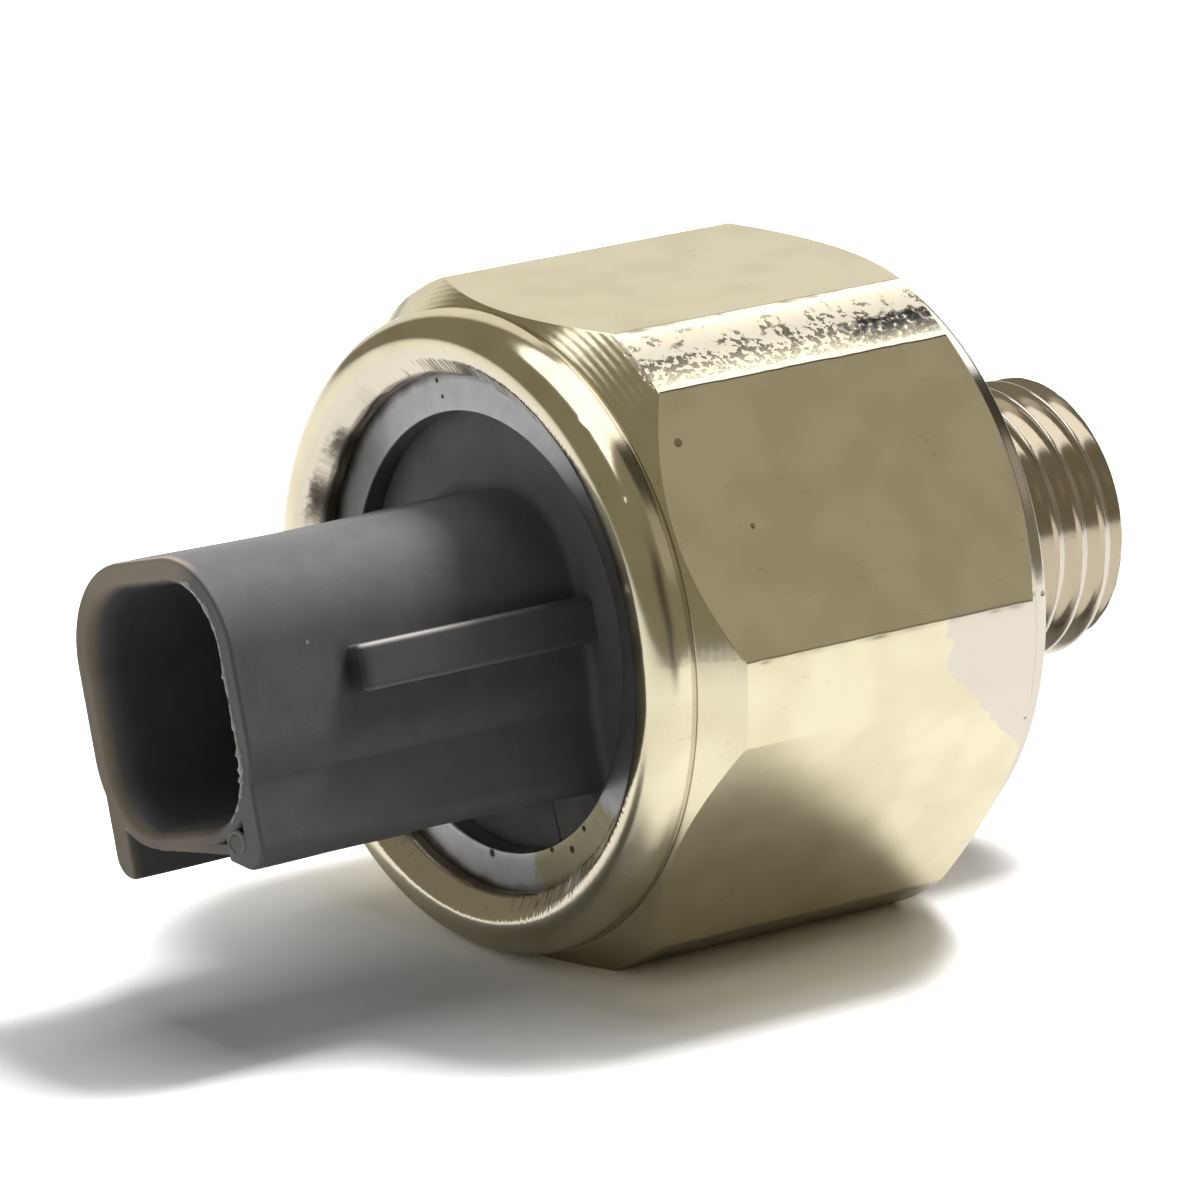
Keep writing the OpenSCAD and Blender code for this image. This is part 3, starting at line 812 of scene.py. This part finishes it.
# Brown residue in the crimp: turn and half width in degrees, outer radius, strength
residues = [(-56, 7, 11.35, 0.75), (-72, 8, 11.6, 0.85), (66, 12, 11.5, 0.45),
            (-150, 8, 11.1, 0.5), (118, 16, 11.1, 0.4)]

# Single pits in the side flat and the hexagon's edge, and small dents in the rim: a point and a size
sidePits = [(-16.79, -9.89, 9.86, 0.22), (-14.53, -11.87, 6.45, 0.13), (-1.59, -13.5, -3.62, 0.12),
            (-0.2, -12.83, 1.31, 0.14)]
rimDents = [(-20.0, -7.75, 10.67, 0.5), (-19.95, -10.5, 7.8, 0.6)]


def platedSteel():
    f = Finish("plated_steel")
    h = housing
    broad = f.noise(f.place, 0.35, 1.0)
    cloudy = f.noise(f.place, 1.6, 2.5)
    fine = f.noise(f.place, 9.0, 2.0)
    degrees = f.turn * (180 / math.pi)
    lip = (1 - f.r.between(11.7, 12.2)) * (1 - f.x.between(-19.2, -19.0))
    colour = f.mix(broad.between(0.35, 0.7) * 0.18, plating["cream"], plating["tarnish"])
    # The lower flat is painted darker and duller towards the bottom: painted shade standing in for its
    # reflection of the floor in the object's shadow
    paintedShadeBelow = (0 - f.z).between(10.8, 13.4) * (1 - f.y.between(-4.0, 3.0)) * f.r.between(13.42, 13.5)
    colour = f.mix(paintedShadeBelow * (0.3 + cloudy * 0.4), colour, plating["shadeBelowTone"])
    # The yellow passivation is thinner on the crimp's bevel, on the rear faces and on the stud,
    # and it has gone from the rear of one corner, behind an irregular border
    border = (degrees - 92).most(0.0) * 0.27 - 6.55
    rubbed = (f.x - border + (cloudy - 0.5) * 1.0).between(-0.08, 0.08) * f.band(82.8, 118.0, 0.5)
    colour = f.mix((lip * 0.8).most(rubbed), colour, plating["bare"])
    colour = f.mix(f.x.between(-1.3, -0.9), colour, plating["stud"])
    # Curled pits in the turned corner above, denser to the lower side, with a dark scar at the rear.
    # The corner's two edges carry a painted highlight, a bright strip of uneven width.
    corner = f.r.between(14.50, 14.60) * degrees.near(30.0, 8.0)
    ragged = degrees + (fine - 0.5) * 1.2 + (cloudy - 0.5) * 1.5
    inCorner = ragged.between(24.9, 25.3) * (1 - ragged.between(35.7, 36.1))
    curls = f.noise(f.around((3.9, 60.0, 4.0)), 1.0, 2.0, 0.6)
    patches = f.noise(f.around((1.1, 17.0, 1.0)), 1.0, 1.0)
    dense = (patches - 0.5) * 1.6 + (degrees - 29.2) * 0.05
    pits = curls.between(0.51, 0.555) * dense.between(-0.10, 0.10) * corner * inCorner
    scar = (f.x + (cloudy - 0.5) * 4.0).between(-7.0, -5.8) * f.band(30.6, 35.9, 0.5) * corner
    scar = scar * curls.between(0.36, 0.46)
    holes = f.marks(sidePits)
    spots = f.dots(f.place, 0.42, 0.16, 0.055).most(holes)
    streaks = f.noise(f.vector(f.x * 0.9, f.y * 3.5, f.z * 3.5), 1.0, 2.0, 0.65).between(0.67, 0.75)
    colour = f.mix(streaks * 0.16, colour, plating["residue"])
    colour = f.mix(corner * inCorner, colour, plating["band"])
    # painted highlight along the corner's two edges
    colour = f.mix(corner * (1 - inCorner), colour, plating["edge"])
    colour = f.mix(pits * 0.85, colour, plating["pit"])
    colour = f.mix(scar * 0.9, colour, plating["scar"])
    colour = f.mix(spots * 0.6, colour, plating["residue"])
    # A dark streak runs along the rim's side, and painted shade darkens the groove behind the rim
    streak = f.band(62.0, 84.0, 5.0) * (f.x + (broad - 0.5) * 0.3).near(-19.55, 0.28)
    streak = streak * f.r.between(13.1, 13.25)
    # painted shade in the groove behind the rim
    groove = f.x.between(-18.82, -18.74) * (1 - f.x.between(-18.5, -18.42)) * (1 - f.r.between(13.36, 13.42))
    colour = f.mix((streak * 0.75).most(groove * 0.3), colour, plating["residue"])
    # The crimp's inner wall is bare and dull, and residue lies here and there on its edge
    wall = (1 - f.r.between(10.85, 11.0)) * (1 - f.x.between(-19.1, -19.0))
    colour = f.mix(wall * 0.8, colour, plating["wall"])
    stain = 0.0 * f.x
    for centre, width, reach, strength in residues:
        place = degrees.near(centre, width) * (1 - (f.r + (cloudy - 0.5) * 1.2).between(reach - 0.3, reach))
        stain = stain.most(place * strength)
    stain = stain * (1 - f.x.between(-19.1, -19.0)) * fine.between(0.15, 0.45)
    colour = f.mix(stain, colour, plating["residue"])
    rough = plating["roughness"] + (cloudy - 0.5) * 0.06 + (pits + scar) * 0.25 + stain * 0.35 + wall * 0.2
    rough = rough + corner * inCorner * 0.12 + streak * 0.2 + paintedShadeBelow * 0.1
    # Relief: cloudy plating, pits, wrinkles round the crimp, and turning marks on the front cone
    run = (f.r - h["collarRadius"]) / math.tan(math.radians(h["frontSlope"]))
    foot = h["frontX"] - (h["flatRadius"] - h["collarRadius"]) / math.tan(math.radians(h["frontSlope"]))
    cone = (1 - (f.x - run - foot).between(0.03, 0.08)) * f.r.between(13.45, 13.5)
    turned = (f.r * (2 * math.pi / plating["markPitch"]) + broad * 3.0).math("SINE") * cone * patches
    turned = turned * (1 + f.band(78.0, 102.0, 4.0) * 0.9)  # deeper in the corner below the side flat
    wrinkles = f.noise(f.around((0.8, 62.0, 0.4)), 1.0, 2.0) * lip * (1 - f.x.between(-19.5, -19.3))
    height = cloudy * 0.003 - (pits + scar) * 0.018 + wrinkles * 0.03 + turned * 0.0018
    height = height - holes * 0.01 + f.marks(rimDents, 1.0) * 0.045
    return f.shade({"Base Color": colour, "Metallic": 1.0 - stain * 0.7, "Roughness": rough,
                    "Normal": f.relief(height)})


# Dark dots near the ring's hole: a point and a size
ringDots = [(-19.05, -0.33, -9.4, 0.22), (-19.05, -4.43, -8.2, 0.16), (-19.05, -5.8, -7.85, 0.2),
            (-19.05, -6.6, -6.75, 0.16), (-19.05, 3.35, 9.95, 0.14), (-19.05, 2.95, 9.35, 0.12)]


def ringSteel():
    f = Finish("ring_steel")
    brushed = f.noise(f.around((1.0, 40.0, 0.8)), 1.0, 3.0)
    cloudy = f.noise(f.place, 1.3, 3.0)
    dots = f.dots(f.place, 0.8, 0.2, 0.16).most(f.marks(ringDots))
    uneven = (cloudy - 0.5) * 0.8
    khaki = (f.band(124.0, 160.0, 5.0) + uneven).between(0.25, 0.8)
    # Painted shade: the ring's far side is darker, where the crimp's lip shades it
    shadedFarSide = f.band(-108.0, -46.0, 12.0)
    colour = f.mix(cloudy.between(0.3, 0.8) * 0.35, tone(180, 180, 181), tone(144, 144, 143))
    colour = f.mix(shadedFarSide * 0.8, colour, tone(112, 112, 110))
    colour = f.mix(khaki * 0.8, colour, tone(150, 142, 98))
    # Dirt and painted shade under the crimp: the ring is darker and browner next to the lip
    crimpDirtAndShade = (f.r + uneven * 0.5).between(10.35, 10.75)
    colour = f.mix(crimpDirtAndShade * 0.55, colour, tone(84, 74, 58))
    colour = f.mix(dots * 0.85, colour, tone(48, 44, 38))
    rough = 0.36 + (brushed - 0.5) * 0.2 + dots * 0.3 + shadedFarSide * 0.1
    return f.shade({"Base Color": colour, "Metallic": 1.0 - dots * 0.6, "Roughness": rough,
                    "Normal": f.relief(brushed * 0.005)})


# Pale dust specks on the near side: a point and a size
specks = [(-28.46, -4.66, 3.57, 0.1), (-31.44, -4.84, 2.98, 0.11), (-31.53, -6.19, -1.45, 0.1)]


def mouldedPlastic():
    f = Finish("moulded_plastic")
    s, e = shroud, extras
    a = math.radians(s["roll"])
    across = f.y * math.cos(a) + f.z * math.sin(a)
    up = f.z * math.cos(a) - f.y * math.sin(a)
    grain = f.noise(f.place, 8.0, 3.0, 0.7)
    cloudy = f.noise(f.place, 0.7, 4.0)
    dust = f.dots(f.place, 0.75, 0.10, 0.07, 0.12)
    scuffs = f.noise(f.vector(f.x * 0.8, f.y * 5.0, f.z * 5.0), 1.0, 3.0, 0.6).between(0.66, 0.74)
    colour = f.mix(cloudy.between(0.3, 0.7) * 0.5, tone(119, 119, 120), tone(106, 106, 107))
    # The mouth's edge is browner on the far side, and palest at the top
    front = 1 - f.x.between(s["mouthX"] + 0.1, s["mouthX"] + 0.5)
    paler = f.mix(across.between(-4.5, 2.0), tone(122, 120, 117), tone(162, 147, 126))
    paler = f.mix(up.between(3.6, 5.2) * across.between(-4.2, -2.6), paler, tone(186, 172, 150))
    colour = f.mix(front * 0.85, colour, paler)
    # The rib's long edges carry a painted highlight, less of it towards the flange
    ribEdgeHighlight = (0 - across).between(s["halfWidth"] + 0.5, s["halfWidth"] + 0.75)
    ribEdgeHighlight = ribEdgeHighlight * (up.near(0.95, 0.22) + up.near(-0.95, 0.2) * 0.4) * (1 - f.x.between(-27.0, -18.5))
    colour = f.mix(ribEdgeHighlight * 0.95, colour, tone(232, 226, 218))
    # Painted shade darkens the corner at the rib's front end
    ribFront = s["flangeX"] - e["ribLength"]
    ribFrontShade = (0 - across).between(s["halfWidth"] - 0.3, s["halfWidth"])
    ribFrontShade = ribFrontShade * f.x.near(ribFront - 0.05, 0.75) * up.near(0.0, 1.6)
    colour = f.mix(ribFrontShade * 0.75, colour, tone(40, 38, 36))
    colour = f.mix(dust * 0.5 + scuffs * 0.12, colour, tone(178, 176, 172))
    colour = f.mix(f.marks(specks) * 0.8, colour, tone(205, 203, 198))
    # Brown oil lies in the flange by the ring, low on the near side
    onFlange = f.x.between(-18.3, -18.2)
    oil = onFlange * (f.y + 4.2 + (cloudy - 0.5) * 3.0).near(0.0, 2.0) * (0 - f.z).between(6.2, 7.0)
    colour = f.mix(oil * 0.6, colour, tone(92, 74, 44))
    # A knife-thin slit crosses the flange's rim
    slit = onFlange * (f.y + 3.42 - (f.z + 7.4) * 0.37).near(0.0, 0.09) * (0 - f.z).between(6.5, 6.7)
    colour = f.mix(slit * 0.9, colour, tone(16, 15, 14))
    rough = 0.52 + (cloudy - 0.5) * 0.16 - oil * 0.15
    height = grain * 0.011 + cloudy * 0.015 - slit * 0.05
    return f.shade({"Base Color": colour, "Roughness": rough, "Specular IOR Level": 0.4,
                    "Normal": f.relief(height)})


def flashPlastic():
    f = Finish("flash_plastic")
    patchy = f.noise(f.place, 3.0, 3.0)
    colour = f.mix(patchy.between(0.35, 0.65), tone(214, 212, 207), tone(242, 240, 235))
    # The gate's ring and the ridge below it are hardly paler than the moulding
    a = math.radians(shroud["roll"])
    up = f.z * math.cos(a) - f.y * math.sin(a)
    colour = f.mix(1 - up.between(-5.3, -4.9), colour, tone(152, 150, 146))
    return f.shade({"Base Color": colour, "Roughness": 0.5 + patchy * 0.2,
                    "Normal": f.relief(patchy * 0.015)})


def plainFinish(name, light, dark, metallic, roughness, scale):
    # Two tones in cloudy patches, with the same patches in the roughness and a fine relief
    f = Finish(name)
    patchy = f.noise(f.place, scale, 4.0)
    colour = f.mix(patchy.between(0.3, 0.7), light, dark)
    rough = roughness + (patchy - 0.5) * 0.15
    relief = f.relief(f.noise(f.place, scale * 6, 3.0) * 0.005)
    return f.shade({"Base Color": colour, "Metallic": metallic, "Roughness": rough, "Normal": relief})


plate = platedSteel()
plastic = mouldedPlastic()
flashFinish = flashPlastic()

makePiece("housing", [surface(housingGrid(housing))], plate, ["hex_housing"])
makePiece("threaded_stud", [surface(studGrid(stud))], plate)
makePiece("crimp_ring", [surface(ringGrid(ring), True)], ringSteel(), ["clamp_ring"])
connectorSurfaces = [surface(shroudGrid(shroud)), surface(flangeGrid(shroud, extras))]
connectorSurfaces += [surface(ribGrid(shroud, extras, side)) for side in (-1, 1)]
connectorSurfaces += [surface(grid(shroud, extras)) for grid in (webGrid, rootGrid, latchGrid)]
makePiece("connector", connectorSurfaces, plastic, ["connector_body"])
makePiece("mould_flash", [surface(g) for g in flashGrids(shroud, flash)], flashFinish)

# The pieces inside keep their CAD shape: light tone, dark tone, metallic, roughness, patches per millimetre
inside = {
    "terminal": ((206, 200, 178), (178, 170, 142), 1.0, 0.3, 1.5),
    "terminal_seal": ((48, 38, 30), (34, 27, 22), 0.0, 0.35, 2.0),
    "o_ring": ((30, 30, 30), (22, 22, 22), 0.0, 0.6, 2.0),
    "clamp_sleeve": ((168, 168, 166), (140, 140, 138), 1.0, 0.35, 0.8),
    "base_plate": ((160, 161, 162), (132, 133, 134), 1.0, 0.35, 0.8),
    "vibration_plate": ((184, 184, 180), (156, 156, 152), 1.0, 0.3, 0.8),
    "bond_film": ((190, 150, 80), (170, 128, 64), 0.0, 0.4, 1.5),
    "lower_electrode": ((222, 222, 218), (198, 198, 192), 1.0, 0.35, 1.5),
    "upper_electrode": ((224, 224, 220), (200, 200, 194), 1.0, 0.35, 1.5),
    "piezo_disc": ((206, 196, 168), (188, 176, 146), 0.0, 0.6, 1.2),
    "element_solder": ((196, 197, 200), (168, 169, 172), 1.0, 0.3, 3.0),
    "lead_solder": ((196, 197, 200), (168, 169, 172), 1.0, 0.3, 3.0),
    "resistor_solder": ((196, 197, 200), (168, 169, 172), 1.0, 0.3, 3.0),
    "ground_solder": ((196, 197, 200), (168, 169, 172), 1.0, 0.3, 3.0),
    "lead_wire": ((206, 132, 84), (178, 104, 62), 1.0, 0.3, 3.0),
    "resistor_lead_signal": ((194, 194, 192), (170, 170, 168), 1.0, 0.3, 3.0),
    "resistor_lead_ground": ((194, 194, 192), (170, 170, 168), 1.0, 0.3, 3.0),
    "resistor_cap_signal": ((186, 186, 184), (160, 160, 158), 1.0, 0.3, 3.0),
    "resistor_cap_ground": ((186, 186, 184), (160, 160, 158), 1.0, 0.3, 3.0),
    "resistor_body": ((98, 146, 164), (78, 126, 146), 0.0, 0.45, 2.0),
}
for node, (light, dark, metallic, roughness, scale) in inside.items():
    finish = plainFinish(node + "_finish", tone(*light), tone(*dark), metallic, roughness, scale)
    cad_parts[node].data.materials.clear()
    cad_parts[node].data.materials.append(finish)
print("stage: inner pieces finished")

# Stage: a pale floor, a wide soft box overhead, a stronger one high on the right, and a dim warm room.
# panelAt, gapAt, backdropAt, frontAt: turn and rise in degrees, then how far off each ends and begins to fade

stageSet = {
    "floorSize": 3000.0,
    "floorSeen": (1.6, 1.6, 1.6, 1),
    "floorMirrored": (0.83, 0.83, 0.83, 1),
    "floorBounce": (0.34, 0.34, 0.34, 1),
    "floorFade": (0.15, 0.35),
    "wideAt": (290.0, 95.0, 500.0),
    "wideSize": (700.0, 460.0),
    "widePower": 1.8,
    "keyTurn": 11.0,
    "keyRise": 64.0,
    "keyAway": 620.0,
    "keySize": 170.0,
    "keyPower": 4.0,
    "roomLight": (0.035, 0.035, 0.035, 1),
    "frontLight": (0.62, 0.62, 0.62, 1),
    "boxSeen": (1.65, 1.66, 1.72, 1),
    "roomSeen": (0.215, 0.195, 0.145, 1),
    "panelSeen": (0.36, 0.33, 0.275, 1),
    "gapSeen": (0.055, 0.05, 0.04, 1),
    "backdropSeen": (0.80, 0.775, 0.70, 1),
    "panelAt": (-48.0, 30.0, 14.0, 6.0),
    "gapAt": (-22.0, 45.0, 18.0, 8.0),
    "backdropAt": (53.0, 12.0, 34.0, 24.0),
    "frontAt": (152.0, 0.0, 56.0, 40.0),
    "boxAlong": (-0.50, -0.42, 0.9, 1.02),
    "boxAside": (-0.43, -0.34, 0.5, 0.62),
    "boxSkew": 0.25,
    "boxRise": (0.1, 0.15),
}


def aimed(turn, rise):
    # The unit vector at a turn from +X towards +Y and a rise from level, in degrees
    t, e = math.radians(turn), math.radians(rise)
    return (math.cos(t) * math.cos(e), math.sin(t) * math.cos(e), math.sin(e))


def makeFloor(s):
    z = cadBounds[0].z
    half = s["floorSize"] / perMetre / 2
    mesh = bpy.data.meshes.new("floor")
    corners = [(-half, -half, z), (half, -half, z), (half, half, z), (-half, half, z)]
    mesh.from_pydata(corners, [], [(0, 1, 2, 3)])
    material = bpy.data.materials.new("floor")
    material.use_nodes = True
    g = Graph(material.node_tree)
    seen = g.add("ShaderNodeLightPath", output="Is Camera Ray")
    glossy = g.add("ShaderNodeLightPath", output="Is Glossy Ray")
    through = g.add("ShaderNodeLightPath", output="Is Transmission Ray")
    look = g.mix(glossy, s["floorBounce"], s["floorMirrored"])
    look = g.mix((seen + through).least(1.0), look, s["floorSeen"])
    lit = g.add("ShaderNodeBsdfDiffuse", None, {"Color": look})
    # Well away from the object the camera sees plain white, in metres from the middle
    plain = g.add("ShaderNodeEmission", None, {"Color": (1.0, 1.0, 1.0, 1), "Strength": 1.0})
    place = g.add("ShaderNodeTexCoord", output="Object")
    distance = g.add("ShaderNodeVectorMath", {"operation": "LENGTH"}, {0: place}, "Value")
    away = distance.between(*s["floorFade"]) * seen
    g.close("ShaderNodeOutputMaterial", g.add("ShaderNodeMixShader", None, {0: away, 1: lit, 2: plain}))
    mesh.materials.append(material)
    floor = bpy.data.objects.new("floor", mesh)
    bpy.context.scene.collection.objects.link(floor)


def makeLamp(name, place, size, power, aim):
    data = bpy.data.lights.new(name, "AREA")
    data.shape = "RECTANGLE"
    data.size, data.size_y = (side / perMetre for side in size)
    data.energy = power
    lamp = bpy.data.objects.new(name, data)
    lamp.location = Vector(place) / perMetre
    lamp.rotation_euler = Vector(aim).to_track_quat("Z", "Y").to_euler()
    lamp.visible_glossy = False  # the metal mirrors the world's own soft box instead
    bpy.context.scene.collection.objects.link(lamp)


def makeWorld(s):
    # The metal mirrors the room by direction: a soft box overhead, a white backdrop, a grey panel, a dark gap
    world = bpy.data.worlds.new("studio")
    bpy.context.scene.world = world
    world.use_nodes = True
    world.cycles.sampling_method = "NONE"  # it is dim and even, so it needs no rays of its own
    g = Graph(world.node_tree)
    direction = g.add("ShaderNodeTexCoord", output="Generated")
    x, y, z = g.parts(direction)
    seen = g.add("ShaderNodeLightPath", output="Is Camera Ray")
    glossy = g.add("ShaderNodeLightPath", output="Is Glossy Ray")
    through = g.add("ShaderNodeLightPath", output="Is Transmission Ray")

    def towards(turn, rise, far, near):
        # 0 where the direction is more than far degrees off, 1 within near degrees
        axis = aimed(turn, rise)
        dot = g.add("ShaderNodeVectorMath", {"operation": "DOT_PRODUCT"}, {0: direction, 1: axis}, "Value")
        return dot.between(math.cos(math.radians(far)), math.cos(math.radians(near)))

    # The soft box is a rectangle on a ceiling one unit up, with its near edge askew
    along, aside = x / z.most(0.05), y / z.most(0.05)
    near, nearEnd, far, farEnd = s["boxAlong"]
    low, lowEnd, high, highEnd = s["boxAside"]
    box = along.between(near, nearEnd) * (1 - along.between(far, farEnd)) * z.between(*s["boxRise"])
    box = box * (aside - along * s["boxSkew"]).between(low, lowEnd) * (1 - aside.between(high, highEnd))
    room = g.mix(towards(*s["panelAt"]), s["roomSeen"], s["panelSeen"])
    room = g.mix(towards(*s["gapAt"]), room, s["gapSeen"])
    room = g.mix(towards(*s["backdropAt"]), room, s["backdropSeen"])
    room = g.mix(box, room, s["boxSeen"])
    light = g.mix(towards(*s["frontAt"]), s["roomLight"], s["frontLight"])
    look = g.mix(glossy, light, room)
    look = g.mix((seen + through).least(1.0), look, (1.0, 1.0, 1.0, 1))
    g.close("ShaderNodeOutputWorld", g.add("ShaderNodeBackground", None, {"Color": look, "Strength": 1.0}))


makeFloor(stageSet)
makeLamp("wide_box", stageSet["wideAt"], stageSet["wideSize"], stageSet["widePower"], (0, 0, 1))
keyAim = aimed(stageSet["keyTurn"], stageSet["keyRise"])
keyPlace = [stageSet["keyAway"] * part for part in keyAim]
makeLamp("key_box", keyPlace, [stageSet["keySize"]] * 2, stageSet["keyPower"], keyAim)
makeWorld(stageSet)
print("stage: floor, lamps and world")
